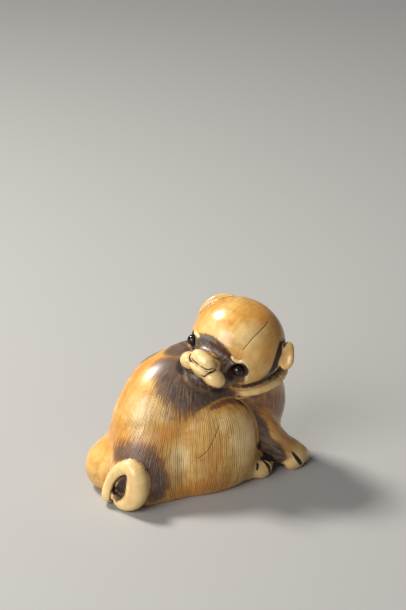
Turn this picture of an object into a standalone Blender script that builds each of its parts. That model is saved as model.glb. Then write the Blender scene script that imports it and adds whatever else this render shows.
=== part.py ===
"""A carved puppy netsuke: one piece of ivory with two inlaid horn eyes.

The puppy lies with its chest to +X and its head turned back over its right
shoulder, towards -X and -Y. The origin is under the middle of the carving,
on the flat patch that it rests on.
"""

import math

import bmesh
import bpy
import numpy as np
from mathutils import Matrix, Vector

# Driving dimensions, in metres
LENGTH = 0.0407
EYE_DIAMETER = 0.0021
EYE_CLEARANCE = 0.0003
CORD_HOLE_WIDE = 0.0042
CORD_HOLE_NARROW = 0.0032
CORD_HOLE_SPACING = 0.0095
CORD_TUNNEL_DEPTH = 0.0042

# The figure's pose and carving are shares of its length
SHARES_LONG = 40.7
SHARE = LENGTH / SHARES_LONG

# The skin's triangles when it is done
SKIN_TRIANGLES = 7600


def head_axes():
    """Columns are the head's own axes: towards the nose, its left ear and its crown."""
    ahead = unit(np.array((-0.799, -0.453, 0.395)))
    up = unit(np.cross(ahead, (0.337, -0.881, -0.327)))
    return np.column_stack((ahead, np.cross(up, ahead), up))


def unit(direction):
    return direction / np.linalg.norm(direction)


def on_head(ahead, left, up):
    """A point given from the head's centre, in the figure's frame."""
    return np.array((8.0, -2.3, 24.5)) + head_axes() @ np.array((ahead, left, up))


def turn(x=0.0, y=0.0, z=0.0):
    """A rotation from degrees about X, then Y, then Z."""
    turned = (
        Matrix.Rotation(math.radians(z), 3, "Z")
        @ Matrix.Rotation(math.radians(y), 3, "Y")
        @ Matrix.Rotation(math.radians(x), 3, "X")
    )
    return np.array(turned)


class Ball:
    """An ellipsoid, turned about its centre. A power over 2 makes it squarer."""

    def __init__(self, centre, radii, axes=None, blend=1.0, cut=False, power=2.0):
        self.centre = np.array(centre, float)
        self.radii = np.array(radii, float)
        self.axes = np.eye(3) if axes is None else axes
        self.blend = blend
        self.cut = cut
        self.power = power
        self.low = self.centre - self.radii.max()
        self.high = self.centre + self.radii.max()

    def distance(self, points):
        local = np.abs((points - self.centre) @ self.axes) / self.radii
        near = (local**self.power).sum(axis=1) ** (1.0 / self.power)
        slope = np.linalg.norm(local ** (self.power - 1.0) / self.radii, axis=1) + 1e-9
        return (near - 1.0) * near ** (self.power - 1.0) / slope

    def balls(self):
        return [(self.centre, self.radii, self.axes)]


class Limb:
    """A round body along a smooth path, whose radius changes on the way."""

    def __init__(self, stations, blend=1.0, cut=False, closed=False, steps=4):
        self.blend = blend
        self.cut = cut
        self.stations = smooth_path(np.array(stations, float), closed, steps)
        thick = self.stations[:, 3:]
        self.low = (self.stations[:, :3] - thick).min(axis=0)
        self.high = (self.stations[:, :3] + thick).max(axis=0)

    def distance(self, points):
        found = np.full(len(points), 1e9)
        for start, end in zip(self.stations[:-1], self.stations[1:]):
            along = end[:3] - start[:3]
            share = (points - start[:3]) @ along / (along @ along + 1e-12)
            share = np.clip(share, 0.0, 1.0)
            gap = np.linalg.norm(points - start[:3] - share[:, None] * along, axis=1)
            found = np.minimum(found, gap - (start[3] + share * (end[3] - start[3])))
        return found

    def balls(self):
        return [(s[:3], np.full(3, s[3]), np.eye(3)) for s in self.stations]


def smooth_path(stations, closed, steps):
    """Catmull-Rom points through the stations."""
    if closed:
        padded = np.vstack((stations[-1:], stations, stations[:2]))
    else:
        first = 2 * stations[0] - stations[1]
        last = 2 * stations[-1] - stations[-2]
        padded = np.vstack((first, stations, last))
    path = []
    for a, b, c, d in zip(padded[:-3], padded[1:-2], padded[2:-1], padded[3:]):
        for step in range(steps):
            t = step / steps
            path.append(
                0.5
                * (
                    2 * b
                    + (c - a) * t
                    + (2 * a - 5 * b + 4 * c - d) * t**2
                    + (3 * b - a - 3 * c + d) * t**3
                )
            )
    path.append(padded[-2])
    return np.array(path)


def ring(centre, slope, radius, thickness, start=-180, end=150, count=12):
    """Stations round a centre, from degrees about +Z, on a plane that rises by its slope."""
    stations = []
    for step in range(count):
        angle = math.radians(start + (end - start) * step / (count - 1))
        out = np.array((math.cos(angle), math.sin(angle)))
        place = (centre[0] + radius * out[0], centre[1] + radius * out[1], centre[2] + radius * out @ slope)
        stations.append((*place, thickness))
    return stations


def body_shapes():
    """Trunk, rump and chest, and the neck that rises to the head."""
    return [
        Ball((-2.3, 1.2, 9.4), (13.3, 9.2, 14.0)),
        Ball((-12.0, 4.8, 3.8), (6.7, 5.8, 5.4), blend=3.0),
        Ball((-11.6, -2.6, 5.0), (6.5, 5.2, 6.5), blend=3.0),
        Limb([(-2.0, 2.4, 14.6, 8.7), (2.5, 2.5, 15.6, 8.5), (8.0, 1.0, 18.0, 7.0)], blend=2.0),
        Ball((11.0, 0.5, 11.7), (8.3, 7.0, 9.0), blend=2.5),
        Ball((8.0, 0.0, 4.5), (10.5, 7.0, 5.2), blend=2.0),
        Limb([(10.5, 0.3, 14.0, 6.8), (10.0, -0.6, 19.5, 6.6)], blend=1.5),
    ]


def leg_shapes():
    """Folded hind legs and outstretched forelegs, each pair mirrored, with their toes."""
    shapes = []
    for side in (-1, 1):
        shapes += [
            Limb(
                [
                    (6.5, side * 2.8, 13.5, 4.2),
                    (10.3, side * 5.2, 8.8, 3.4),
                    (13.8, side * 6.2, 4.6, 2.9),
                    (16.2, side * 6.5, 3.0, 2.5),
                    (18.0, side * 6.8, 2.0, 2.0),
                ],
                blend=0.8,
            ),
            Ball((0.2, side * 5.0, 7.8), (8.7, 5.3, 9.0), turn(y=-4, z=side * 6), blend=0.35, power=2.4),
            Limb(
                [
                    (-9.0, side * 4.6, 2.0, 2.6),
                    (0.0, side * 5.8, 2.0, 2.6),
                    (8.8, side * 6.2, 1.9, 2.2),
                ],
                blend=0.9,
            ),
            Ball((9.6, side * 7.7, 1.6), (2.1, 1.15, 1.8), blend=0.35),
            Ball((11.2, side * 6.1, 1.6), (2.1, 1.15, 1.9), blend=0.35),
            Ball((10.6, side * 4.6, 1.6), (2.0, 1.1, 1.8), blend=0.35),
            Ball((16.5, side * 8.1, 1.65), (2.3, 1.2, 1.85), blend=0.35),
            Ball((18.55, side * 7.0, 1.45), (2.1, 1.3, 1.7), blend=0.35),
            Ball((18.0, side * 4.9, 1.3), (2.2, 1.15, 1.6), blend=0.35),
        ]
    return shapes


def tail_shapes():
    """The tail rises from under the rump and curls over into a loop that lies on it."""
    loop = [
        (-17.4, -0.3, 1.3, 1.3),
        (-18.9, -1.2, 1.9, 1.1),
        (-18.8, -1.6, 4.0, 0.95),
        (-18.4, -2.6, 6.1, 1.05),
        (-17.8, -3.9, 7.6, 1.2),
        (-17.0, -5.5, 8.3, 1.4),
        (-16.5, -6.7, 7.3, 1.7),
        (-16.4, -6.8, 5.1, 1.95),
        (-16.6, -6.4, 2.9, 1.9),
        (-17.2, -5.1, 1.5, 1.5),
        (-17.9, -3.7, 1.3, 1.1),
        (-18.3, -2.9, 2.1, 0.6),
    ]
    return [Limb(loop, blend=0.25)]


def skull():
    """The dome's centre and radii, in the head's axes."""
    return np.array((-0.2, 0.0, 0.15)), np.array((8.5, 8.45, 7.95))


def head_shapes():
    """Skull, muzzle and ears, placed from the head's centre."""
    axes = head_axes()
    centre, radii = skull()
    shapes = [
        Ball(on_head(*centre), radii, axes, blend=0.5),
        Ball(on_head(6.0, 0.2, -4.9), (4.6, 3.3, 2.6), axes, blend=1.2),
        Ball(on_head(7.4, -0.8, -7.8), (3.2, 2.8, 1.8), axes, blend=0.8),
        Ball(on_head(9.7, 0.4, -5.7), (1.8, 2.5, 1.1), axes, blend=0.3),
        Ball(on_head(10.4, 0.0, -3.95), (1.6, 2.35, 1.3), axes @ turn(x=-5), blend=0.12, power=2.6),
        Ball(on_head(5.6, 2.5, -5.8), (3.0, 2.4, 1.8), axes, blend=0.8),
        Ball(on_head(5.6, -2.5, -5.8), (3.0, 2.4, 1.8), axes, blend=0.8),
        Ball(on_head(8.9, 2.8, -5.9), (2.3, 2.1, 1.6), axes, blend=0.25),
        Ball(on_head(8.9, -2.6, -5.6), (2.2, 1.8, 1.6), axes, blend=0.25),
    ]
    return shapes + ear_grooves(shapes) + left_ear() + right_ear()


def ear_grooves(shapes):
    """The hollow in front of the left ear, and a thin line in front of the right one."""
    fold = [
        (-0.6, 7.2, 4.6, 0.5, 0.2),
        (1.0, 7.5, 3.7, 0.8, 0.45),
        (1.4, 7.8, 2.3, 0.95, 0.55),
        (1.2, 8.0, 0.9, 0.95, 0.55),
        (1.1, 8.0, -0.5, 0.6, 0.3),
    ]
    root = [(*over_skull(angle, -0.5, 0.0), 0.35, 0.2) for angle in (55, 40, 20, 5)]
    return [surface_line(on_head_line(line), shapes) for line in (fold, root)]


def left_ear():
    """A short folded leaf, narrow at its root and shut against the skull."""
    leaf = leaf_axes((-0.1, -0.33, 0.94), (-0.55, 0.8, 0.25))
    return [
        Ball(on_head(-1.4, 8.4, 3.3), (0.75, 1.15, 1.7), leaf, blend=0.3),
        Ball(on_head(-1.3, 9.05, 1.9), (0.8, 1.35, 1.75), leaf, blend=0.6),
    ]


def right_ear():
    """A leaf laid over the dome, in three rows that run from the cheek to the crown."""
    shapes = []
    for back, thick in ((0.25, 0.5), (1.3, 0.55), (2.3, 0.5)):
        row = []
        for angle, wide in zip(np.linspace(52.0, 8.0, 6), (0.45, 0.8, 1.0, 1.0, 0.8, 0.45)):
            place = on_head(*over_skull(angle, back, 0.95 * thick * wide - 0.05))
            row.append((*place, thick * wide))
        shapes.append(Limb(row, blend=0.6))
    return shapes


def over_skull(angle, back, rise):
    """A point just over the dome, in the head's axes.

    The angle turns from the crown towards the right cheek, and back is how far
    the point lies behind the ring on which the ear's front edge runs.
    """
    axis = unit(np.array((0.917, 0.368, 0.155)))
    top = np.array((0.056, -0.501, 0.861))
    top = unit(top - (top @ axis) * axis)
    angle = math.radians(angle)
    way = unit(8.3 * (math.cos(angle) * top + math.sin(angle) * np.cross(axis, top)) - back * axis)
    centre, radii = skull()
    return centre + (1.0 / np.linalg.norm(way / radii) + rise) * way


def leaf_axes(long, wide):
    """A leaf's thick, wide and long directions, from two given in the head's axes."""
    long = unit(np.array(long))
    across = unit(np.array(wide) - (np.array(wide) @ long) * long)
    return head_axes() @ np.column_stack((np.cross(across, long), across, long))


def lid_shapes(shapes):
    """The hollow under the brow, and a thin raised lid over each eye."""
    stop = on_head_line([(7.3, -3.3, -2.1, 0.5), (8.6, 0.0, -1.8, 0.9), (7.3, 3.3, -2.1, 0.5)])
    left = [
        (7.3, 3.7, -1.7, 0.3, 0.1),
        (6.9, 4.5, -1.65, 0.4, 0.25),
        (6.4, 5.2, -1.2, 0.42, 0.25),
        (5.4, 6.0, -1.8, 0.42, 0.2),
        (4.2, 6.3, -3.2, 0.4, 0.2),
        (3.2, 6.2, -4.3, 0.3, 0.1),
    ]
    right = [(5.3, -6.3, -2.0, 0.3, 0.1), (5.9, -5.8, -1.7, 0.4, 0.25), (6.9, -4.5, -1.65, 0.3, 0.1)]
    ridges = [surface_line(on_head_line(line), shapes, cut=False) for line in (left, right)]
    return [Limb(stop, blend=0.9, cut=True)] + ridges


def eye_places():
    """The middle of each eye, left and then right, in the figure's frame."""
    return [on_head(5.53, 4.68, -3.12), on_head(4.95, -5.68, -3.05)]


def on_head_line(line):
    """A line's stations moved from the head's axes into the figure's frame."""
    return [(*on_head(*station[:3]), *station[3:]) for station in line]


def surface_line(line, shapes, cut=True):
    """A groove, or a ridge, that follows the surface of the shapes.

    Each station is its place, half the line's width and its depth or height.
    """
    places = np.array([station[:3] for station in line])
    for step in range(5):
        away, outward = figure_slope(places, shapes)
        places -= np.clip(away, -1.0, 1.0)[:, None] * outward
    stations = []
    for place, out, (half, height) in zip(places, outward, (station[3:] for station in line)):
        radius = (half**2 + height**2) / (2 * height)
        away = radius - height if cut else height - radius
        stations.append((*(place + away * out), radius))
    return Limb(stations, blend=0.15, cut=cut)


def carved_shapes(shapes):
    """Lines and hollows cut into the finished figure."""
    nostrils = [
        [(11.75, -1.75, -4.85, 0.2, 0.12), (11.9, -0.8, -5.2, 0.28, 0.22), (11.95, 0.0, -5.1, 0.2, 0.12)],
        [(11.85, 0.85, -5.15, 0.2, 0.12), (11.5, 1.8, -5.2, 0.28, 0.22), (10.9, 2.4, -4.5, 0.2, 0.12)],
    ]
    mouth = [(11.0, 1.3, -6.3, 0.2, 0.12), (10.6, 2.2, -5.8, 0.25, 0.18), (10.3, 2.5, -5.0, 0.2, 0.12)]
    cuts = [surface_line(on_head_line(line), shapes) for line in nostrils + [mouth]]
    leaf = leaf_axes((-0.1, -0.33, 0.94), (-0.55, 0.8, 0.25))
    cuts.append(Ball(on_head(-0.45, 9.3, 2.1), (0.55, 0.75, 1.5), leaf, blend=0.5, cut=True))
    for place in eye_places():
        out = unit(place - on_head(0.0, 0.0, 0.0))
        cuts.append(Ball(place + 0.95 * out, (1.7, 1.7, 1.7), blend=0.25, cut=True))
    for side in (-1, 1):
        front = [(15.3, 9.05, 3.8, 0.2, 0.1), (16.3, 9.2, 2.5, 0.34, 0.28), (17.3, 9.2, 1.0, 0.3, 0.2)]
        inner = [(16.0, 5.6, 3.9, 0.3, 0.15), (18.2, 5.8, 2.8, 0.34, 0.3), (19.8, 5.8, 1.0, 0.34, 0.3)]
        hind = [(9.6, 8.0, 3.3, 0.2, 0.1), (10.3, 8.6, 2.3, 0.34, 0.28), (10.7, 8.7, 1.0, 0.3, 0.15)]
        for line in (front, inner, hind):
            cuts.append(surface_line([(x, side * y, *rest) for x, y, *rest in line], shapes))
    return cuts


def collar_shapes():
    """The hollow under the jaw, and the raised collar below it round the neck."""
    slope = (0.15, 0.11)
    hollow = ring((10.2, -0.6, 19.9), slope, 7.9, 1.05, start=-122, end=105)
    hollow[0] = (*hollow[0][:3], 0.4)
    hollow[-1] = (*hollow[-1][:3], 0.4)
    band = ring((10.5, -0.3, 18.1), slope, 7.5, 0.75)
    return [
        Limb(hollow, blend=0.5, cut=True, steps=2),
        Limb(band, blend=0.25, closed=True, steps=2),
    ]


def figure_shapes():
    """Every mass of the figure, in the order in which they join."""
    shapes = body_shapes() + leg_shapes() + tail_shapes() + head_shapes() + collar_shapes()
    shapes += lid_shapes(shapes)
    return shapes + carved_shapes(shapes)


def figure_distance(points, shapes):
    """How far points lie outside the blended figure; shapes join in their order."""
    found = shapes[0].distance(points)
    for shape in shapes[1:]:
        margin = shape.blend + 2.0
        near = ((points > shape.low - margin) & (points < shape.high + margin)).all(axis=1)
        here = found[near]
        other = shape.distance(points[near])
        if shape.cut:
            other = -other
        round_off = np.maximum(shape.blend - np.abs(here - other), 0.0) ** 2 / (4 * shape.blend)
        if shape.cut:
            found[near] = np.maximum(here, other) + round_off
        else:
            found[near] = np.minimum(here, other) - round_off
    return found


def figure_slope(points, shapes):
    """Distance and unit outward direction, from four samples round each point."""
    reach = 0.05
    corners = np.array(((1, -1, -1), (-1, -1, 1), (-1, 1, -1), (1, 1, 1)), float)
    samples = [figure_distance(points + reach * corner, shapes) for corner in corners]
    slope = sum(sample[:, None] * corner for sample, corner in zip(samples, corners))
    length = np.linalg.norm(slope, axis=1, keepdims=True) + 1e-9
    return sum(samples) / 4, slope / length


def remesh(body, voxel):
    """An even closed skin round everything that the object holds."""
    modifier = body.modifiers.new("Skin", "REMESH")
    modifier.mode = "VOXEL"
    modifier.voxel_size = voxel
    apply_modifiers(body)


def apply_modifiers(body):
    graph = bpy.context.evaluated_depsgraph_get()
    mesh = bpy.data.meshes.new_from_object(body.evaluated_get(graph))
    body.modifiers.clear()
    old = body.data
    body.data = mesh
    bpy.data.meshes.remove(old)


def pull_onto_figure(body, shapes, rounds):
    """Moves the skin's points onto the blended figure and evens them out."""
    for step in range(rounds):
        points = np.empty(len(body.data.vertices) * 3)
        body.data.vertices.foreach_get("co", points)
        points = points.reshape(-1, 3)
        away, outward = figure_slope(points, shapes)
        points = points - np.clip(away, -0.6, 0.6)[:, None] * outward
        body.data.vertices.foreach_set("co", points.ravel())
        body.data.update()
        if step < rounds - 2:
            modifier = body.modifiers.new("Even", "SMOOTH")
            modifier.iterations = 1
            modifier.factor = 0.5
            apply_modifiers(body)


def rough_figure(shapes):
    """Every ball and limb as plain spheres in one mesh."""
    mesh = bpy.data.meshes.new("dog")
    gathered = bmesh.new()
    for shape in shapes:
        if shape.cut:
            continue
        for centre, radii, axes in shape.balls():
            place = Matrix.Translation(centre) @ Matrix(axes).to_4x4() @ Matrix.Diagonal((*radii, 1.0))
            bmesh.ops.create_icosphere(gathered, subdivisions=3, radius=1.0, matrix=place)
    gathered.to_mesh(mesh)
    gathered.free()
    body = bpy.data.objects.new("dog", mesh)
    bpy.context.scene.collection.objects.link(body)
    return body


def build_dog(shapes):
    """The figure's skin, still in shares: a rough one first and then a finer one."""
    body = rough_figure(shapes)
    for voxel, rounds in ((0.48, 3), (0.36, 5)):
        remesh(body, voxel)
        pull_onto_figure(body, shapes, rounds)
    return body


def simplify(body, triangles):
    """Fewer triangles where the skin is smooth."""
    modifier = body.modifiers.new("Simplify", "DECIMATE")
    modifier.ratio = triangles / (2 * len(body.data.polygons))
    apply_modifiers(body)


def cut_away(body, gathered):
    """Cuts a closed bmesh out of the body."""
    mesh = bpy.data.meshes.new("cutter")
    gathered.to_mesh(mesh)
    gathered.free()
    cutter = bpy.data.objects.new("cutter", mesh)
    bpy.context.scene.collection.objects.link(cutter)
    modifier = body.modifiers.new("Cut", "BOOLEAN")
    modifier.operation = "DIFFERENCE"
    modifier.solver = "EXACT"
    modifier.object = cutter
    apply_modifiers(body)
    bpy.data.objects.remove(cutter)


def cut_foot(body):
    """The flat patch at the bottom, which the carving rests on."""
    below = bmesh.new()
    wide = 2 * LENGTH
    bmesh.ops.create_cube(below, size=wide, matrix=Matrix.Translation((0, 0, -wide / 2)))
    cut_away(body, below)


def cut_eye_seats(body, places):
    """A round seat for each eye, with its clearance."""
    for place in places:
        seat = bmesh.new()
        radius = EYE_DIAMETER / 2 + EYE_CLEARANCE
        bmesh.ops.create_icosphere(seat, subdivisions=2, radius=radius, matrix=Matrix.Translation(place))
        cut_away(body, seat)


def cut_cord_tunnel(body):
    """The curved tunnel that joins the two cord holes in the underside."""
    tunnel = bmesh.new()
    steps = 12
    sides = 16
    rings = []
    middle = Vector((-2.5 * SHARE, 3.6 * SHARE, 0.0))
    for step in range(steps + 1):
        along = step / steps
        angle = math.pi * (1.12 * along - 0.06)
        radius = (CORD_HOLE_WIDE + along * (CORD_HOLE_NARROW - CORD_HOLE_WIDE)) / 2
        place = middle + Vector(
            (-CORD_HOLE_SPACING / 2 * math.cos(angle), 0.0, CORD_TUNNEL_DEPTH * math.sin(angle))
        )
        ahead = Vector(
            (CORD_HOLE_SPACING / 2 * math.sin(angle), 0.0, CORD_TUNNEL_DEPTH * math.cos(angle))
        ).normalized()
        side = Vector((0.0, 1.0, 0.0))
        other = ahead.cross(side)
        rings.append(
            [
                tunnel.verts.new(place + radius * (math.cos(turned) * side + math.sin(turned) * other))
                for turned in (2 * math.pi * k / sides for k in range(sides))
            ]
        )
    for low, high in zip(rings, rings[1:]):
        for k in range(sides):
            tunnel.faces.new((low[k], low[k - 1], high[k - 1], high[k]))
    tunnel.faces.new(rings[0])
    tunnel.faces.new(rings[-1])
    bmesh.ops.recalc_face_normals(tunnel, faces=tunnel.faces)
    cut_away(body, tunnel)


def add_eye(name, place, material):
    """A round horn bead in its seat."""
    mesh = bpy.data.meshes.new(name)
    bead = bmesh.new()
    bmesh.ops.create_icosphere(bead, subdivisions=2, radius=EYE_DIAMETER / 2)
    bead.to_mesh(mesh)
    bead.free()
    mesh.shade_smooth()
    mesh.materials.append(material)
    eye = bpy.data.objects.new(name, mesh)
    eye.location = place
    bpy.context.scene.collection.objects.link(eye)
    return eye


def plain_material(name, colour, roughness):
    material = bpy.data.materials.new(name)
    material.use_nodes = True
    shader = material.node_tree.nodes["Principled BSDF"]
    shader.inputs["Base Color"].default_value = (*colour, 1.0)
    shader.inputs["Roughness"].default_value = roughness
    shader.inputs["Metallic"].default_value = 0.0
    return material


def clear_scene():
    for old in list(bpy.data.objects):
        bpy.data.objects.remove(old)


def build():
    clear_scene()
    dog = build_dog(figure_shapes())
    simplify(dog, SKIN_TRIANGLES)
    dog.data.transform(Matrix.Scale(SHARE, 4))
    places = [SHARE * Vector(place) for place in eye_places()]
    cut_foot(dog)
    cut_eye_seats(dog, places)
    cut_cord_tunnel(dog)

    corners = [Vector(corner) for corner in dog.bound_box]
    middle = Vector(
        (
            (min(c.x for c in corners) + max(c.x for c in corners)) / 2,
            (min(c.y for c in corners) + max(c.y for c in corners)) / 2,
            0.0,
        )
    )
    dog.data.transform(Matrix.Translation(-middle))
    dog.data.shade_smooth()
    dog.data.set_sharp_from_angle(angle=math.radians(50))
    dog.data.materials.clear()
    dog.data.materials.append(plain_material("ivory", (0.76, 0.53, 0.26), 0.32))
    horn = plain_material("horn", (0.012, 0.01, 0.009), 0.15)
    for name, place in zip(("eye_left", "eye_right"), places):
        add_eye(name, place - middle, horn)


build()
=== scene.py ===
import math

import bmesh
import bpy
import numpy as np
from mathutils import Matrix, Vector


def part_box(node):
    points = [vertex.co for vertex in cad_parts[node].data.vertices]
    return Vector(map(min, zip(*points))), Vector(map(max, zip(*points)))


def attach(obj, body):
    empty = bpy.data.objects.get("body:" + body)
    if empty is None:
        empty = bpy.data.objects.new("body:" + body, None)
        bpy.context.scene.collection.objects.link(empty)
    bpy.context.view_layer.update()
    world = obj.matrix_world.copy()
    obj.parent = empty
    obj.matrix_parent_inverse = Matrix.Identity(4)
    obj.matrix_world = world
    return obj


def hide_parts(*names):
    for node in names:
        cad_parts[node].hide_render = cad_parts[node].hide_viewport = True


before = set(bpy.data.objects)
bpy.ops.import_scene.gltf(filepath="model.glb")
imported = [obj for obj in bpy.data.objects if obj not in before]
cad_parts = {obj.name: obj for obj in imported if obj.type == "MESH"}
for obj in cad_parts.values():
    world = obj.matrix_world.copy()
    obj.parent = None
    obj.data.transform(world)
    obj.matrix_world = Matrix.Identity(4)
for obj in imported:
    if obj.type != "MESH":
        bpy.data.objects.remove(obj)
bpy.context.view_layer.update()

# The puppy is carved in millimetres and brought into the frame when its skin is done
mm = 0.001

headPlace = {
    "centre": (8.0, -2.3, 24.5),
    "ahead": (-0.799, -0.453, 0.395),
    "left": (0.337, -0.881, -0.327),
}

carving = {
    "roughSkin": 0.45,  # size of the first skin's faces
    "fineSkin": 0.25,  # and of the finished one's
    "roughRounds": 3,
    "fineRounds": 4,
    "reach": 0.6,  # how far a point may move in a round
    "lineMargin": 0.5,  # faces this near to a fine line are halved
    "quickFactor": 1.8,
}

eyes = {
    "left": (5.53, 4.68, -3.12),  # ahead, left and up from the head's centre
    "right": (4.95, -5.68, -3.05),
    "diameter": 2.1,
    "socketGap": 0.1,
    "hollow": 1.7,  # the radius of the dished hollow that each bead sits in
    "hollowOut": 0.95,
}

# The right ear lies over the dome in rows, which run round this axis from the cheek to the crown
rightEarPlace = {
    "axis": (0.917, 0.368, 0.155),
    "top": (0.056, -0.501, 0.861),
    "start": 52.0,
    "end": 8.0,
    "rows": ((0.25, 0.5), (1.3, 0.55), (2.3, 0.5)),  # how far behind the dome's edge, and how thick
}

skull = {"centre": (-0.2, 0.0, 0.15), "radii": (8.5, 8.45, 7.95)}

# The left ear's leaf, on the head's axes: along it and across it
leftLeaf = {"long": (-0.1, -0.33, 0.94), "wide": (-0.55, 0.8, 0.25)}

cordHoles = {
    "wide": 4.2,
    "narrow": 3.2,
    "spacing": 9.5,
    "depth": 4.2,
    "middle": (-2.5, 3.6),
}


def headAxes():
    ahead = np.array(headPlace["ahead"]) / np.linalg.norm(headPlace["ahead"])
    up = np.cross(ahead, headPlace["left"])
    up /= np.linalg.norm(up)
    return np.column_stack((ahead, np.cross(up, ahead), up))  # columns: ahead, left, up


headTurn = headAxes()


def onHead(ahead, left, up):
    return np.array(headPlace["centre"]) + headTurn @ np.array((ahead, left, up), float)


def turned(x=0.0, y=0.0, z=0.0):
    spin = Matrix.Rotation(math.radians(z), 3, "Z") @ Matrix.Rotation(math.radians(y), 3, "Y")
    return np.array(spin @ Matrix.Rotation(math.radians(x), 3, "X"))


def ball(part, centre, radii, axes=None, blend=1.0, cut=False, power=2.0, ink=0.0):
    # an ellipsoid; a power over 2 makes it squarer, and ink is how wide a cut's dye has spread
    centre = np.array(centre, float)
    radii = np.array(radii, float)
    axes = np.eye(3) if axes is None else axes

    def distance(points):
        local = np.abs((points - centre) @ axes) / radii
        near = (local**power).sum(axis=1) ** (1.0 / power)
        slope = np.linalg.norm(local ** (power - 1.0) / radii, axis=1) + 1e-9
        return (near - 1.0) * near ** (power - 1.0) / slope

    size = radii.max()
    return {
        "part": part, "distance": distance, "blend": blend, "cut": cut, "ink": ink,
        "low": centre - size, "high": centre + size, "lumps": [(centre, radii, axes)],
    }


def smoothPath(stations, closed, steps):
    # a Catmull-Rom curve through the stations
    if closed:
        padded = np.vstack((stations[-1:], stations, stations[:2]))
    else:
        padded = np.vstack((2 * stations[0] - stations[1], stations, 2 * stations[-1] - stations[-2]))
    path = []
    for a, b, c, d in zip(padded[:-3], padded[1:-2], padded[2:-1], padded[3:]):
        for step in range(steps):
            t = step / steps
            bend = (2 * a - 5 * b + 4 * c - d) * t**2 + (3 * b - a - 3 * c + d) * t**3
            path.append(0.5 * (2 * b + (c - a) * t + bend))
    path.append(padded[-2])
    return np.array(path)


def limb(part, stations, blend=1.0, cut=False, closed=False, steps=4, ink=0.0):
    # a round body along a curve, with its radius given at each station
    path = smoothPath(np.array(stations, float), closed, steps)

    def distance(points):
        found = np.full(len(points), 1e9)
        for start, end in zip(path[:-1], path[1:]):
            along = end[:3] - start[:3]
            share = np.clip((points - start[:3]) @ along / (along @ along + 1e-12), 0.0, 1.0)
            gap = np.linalg.norm(points - start[:3] - share[:, None] * along, axis=1)
            found = np.minimum(found, gap - (start[3] + share * (end[3] - start[3])))
        return found

    return {
        "part": part, "distance": distance, "blend": blend, "cut": cut, "ink": ink,
        "low": (path[:, :3] - path[:, 3:]).min(axis=0), "high": (path[:, :3] + path[:, 3:]).max(axis=0),
        "lumps": [(spot[:3], np.full(3, spot[3]), np.eye(3)) for spot in path],
    }


def figureDistance(points, masses):
    # how far points lie outside the blended figure
    found = masses[0]["distance"](points)
    for mass in masses[1:]:
        margin = mass["blend"] + 2.0
        near = ((points > mass["low"] - margin) & (points < mass["high"] + margin)).all(axis=1)
        here = found[near]
        other = mass["distance"](points[near])
        if mass["cut"]:
            other = -other
        rounding = np.maximum(mass["blend"] - np.abs(here - other), 0.0) ** 2 / (4 * mass["blend"])
        if mass["cut"]:
            found[near] = np.maximum(here, other) + rounding
        else:
            found[near] = np.minimum(here, other) - rounding
    return found


def partDistance(points, masses, *parts):
    # how far points lie outside the parts with these names
    return np.min([mass["distance"](points) for mass in masses if mass["part"] in parts], axis=0)


def figureSlope(points, masses):
    # the distance again, and the way straight out from the surface
    reach = 0.05
    corners = np.array(((1, -1, -1), (-1, -1, 1), (-1, 1, -1), (1, 1, 1)), float)
    samples = [figureDistance(points + reach * corner, masses) for corner in corners]
    slope = sum(sample[:, None] * corner for sample, corner in zip(samples, corners))
    return sum(samples) / 4, slope / (np.linalg.norm(slope, axis=1, keepdims=True) + 1e-9)


def surfaceLine(part, line, masses, head=False, cut=True, blend=0.1, ink=0.3):
    # a groove or a ridge along the surface: each station has its place, half its width and its height
    places = np.array([onHead(*station[:3]) if head else station[:3] for station in line], float)
    for step in range(5):
        away, outward = figureSlope(places, masses)
        places -= np.clip(away, -1.0, 1.0)[:, None] * outward
    stations = []
    for place, out, (half, height) in zip(places, outward, [station[3:] for station in line]):
        radius = (half**2 + height**2) / (2 * height)
        away = radius - height if cut else height - radius
        stations.append((*(place + away * out), radius))
    return limb(part, stations, blend=blend, cut=cut, ink=ink)


def floorCut():
    # the flat patch that the carving rests on
    return {
        "part": "foot", "distance": lambda points: points[:, 2], "blend": 0.12, "cut": True, "ink": 0.0,
        "low": np.full(3, -60.0), "high": np.array((60.0, 60.0, 0.5)), "lumps": [],
    }


def headLine(part, points, blend=0.2, cut=True, ink=0.3):
    return limb(part, [(*onHead(a, b, c), r) for a, b, c, r in points], blend=blend, cut=cut, ink=ink)


def neckRing(centre, slope, radius, thickness, start=-180, end=150, count=12):
    stations = []
    for step in range(count):
        angle = math.radians(start + (end - start) * step / (count - 1))
        x, y = radius * math.cos(angle), radius * math.sin(angle)
        stations.append((centre[0] + x, centre[1] + y, centre[2] + x * slope[0] + y * slope[1], thickness))
    return stations


def bodyMasses():
    return [
        ball("body", (-2.3, 1.2, 9.4), (13.3, 9.2, 14.0)),
        ball("body", (-12.0, 4.8, 3.8), (6.7, 5.8, 5.4), blend=3.0),
        ball("body", (-11.6, -2.6, 5.0), (6.5, 5.2, 6.5), blend=3.0),
        limb("body", [(-2.0, 2.4, 14.6, 8.7), (2.5, 2.5, 15.6, 8.5), (8.0, 1.0, 18.0, 7.0)], blend=2.0),
        ball("body", (11.0, 0.5, 11.7), (8.3, 7.0, 9.0), blend=2.5),
        ball("body", (8.0, 0.0, 4.5), (10.5, 7.0, 5.2), blend=2.0),
        limb("body", [(10.5, 0.3, 14.0, 6.8), (10.0, -0.6, 19.5, 6.6)], blend=1.5),
    ]


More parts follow.
